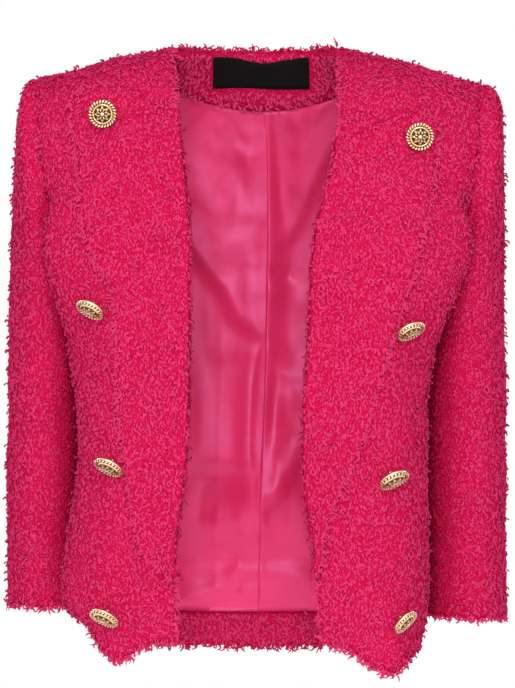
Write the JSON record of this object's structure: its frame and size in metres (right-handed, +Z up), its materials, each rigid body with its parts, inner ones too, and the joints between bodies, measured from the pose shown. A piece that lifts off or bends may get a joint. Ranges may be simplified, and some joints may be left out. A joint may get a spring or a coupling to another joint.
{
  "type": "cropped tweed jacket",
  "caption": "Cropped collarless tweed jacket worn open, with wide turned-back lapels, bracelet sleeves, satin back lining, raw edges and domed metal shank buttons.",
  "frame": {"origin": "midway between the two neck ends of the shoulder seams, where the wearer's shoulders hold the jacket", "axes": "+Z up, the open front faces -Y, +X is the viewer's right (the wearer's left); names with left and right are as the viewer sees them from the front"},
  "size_m": [0.4487, 0.2431, 0.5546],
  "materials": {
    "tweed": "curly boucle pile, matt, hot pink",
    "satin": "satin weave, soft sheen, pink",
    "label": "flat woven tape, near black",
    "gold": "polished pale gold plate"
  },
  "bodies": {
    "root": {"back": "tweed", "back_hem_facing": "tweed", "back_neck_facing": "tweed", "button_left_1": "gold", "button_left_2": "gold", "button_left_3": "gold", "button_left_4": "gold", "button_right_1": "gold", "button_right_2": "gold", "button_right_3": "gold", "button_right_4": "gold", "front_left": "tweed", "front_right": "tweed", "lapel_left": "tweed", "lapel_right": "tweed", "lining_left": "satin", "lining_right": "satin", "neck_label": "label", "sleeve_left": "tweed", "sleeve_right": "tweed"}
  },
  "joints": []
}
